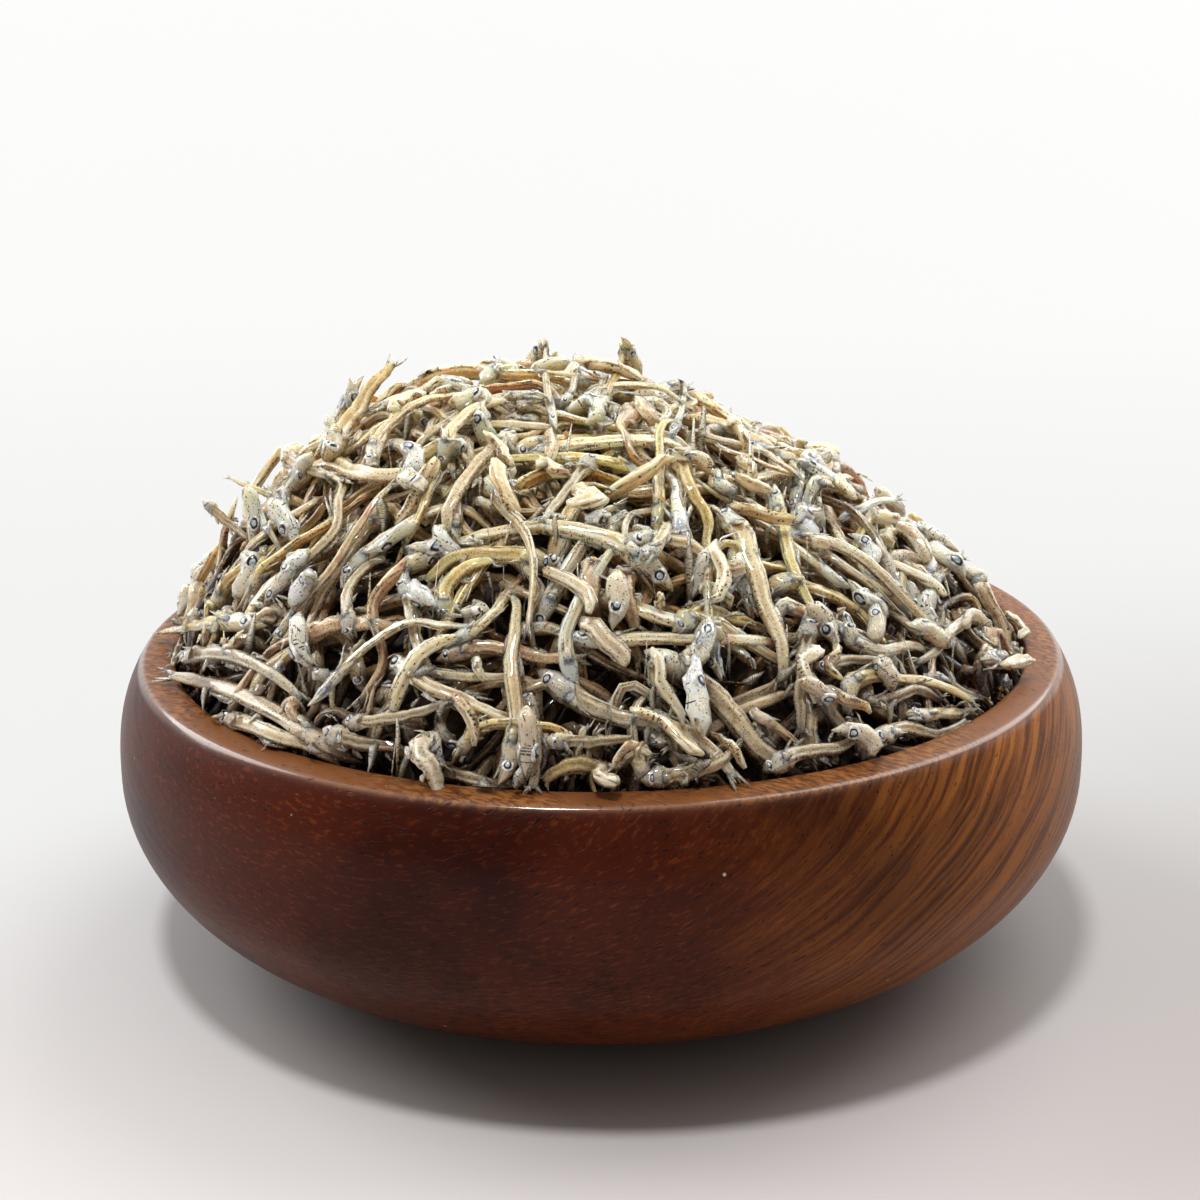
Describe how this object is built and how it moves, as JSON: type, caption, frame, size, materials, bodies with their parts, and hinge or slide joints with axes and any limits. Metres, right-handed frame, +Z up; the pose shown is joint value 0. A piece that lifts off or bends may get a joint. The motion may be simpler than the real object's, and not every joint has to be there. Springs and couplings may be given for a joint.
{
  "type": "bowl of dried anchovies",
  "caption": "Small dried anchovies heaped well above the rim of a shallow turned wooden bowl with a drawn-in wall and a flat foot.",
  "frame": {"origin": "centre of the flat foot that the bowl stands on", "axes": "+Z up out of the bowl, -Y towards the viewer and +X to the viewer's right"},
  "size_m": [0.15, 0.15, 0.092],
  "materials": {
    "wood": "oiled acacia, semi-gloss",
    "dried_fish": null
  },
  "bodies": {
    "root": {"wooden_bowl": "wood", "anchovy_heap": "dried_fish"}
  },
  "joints": []
}
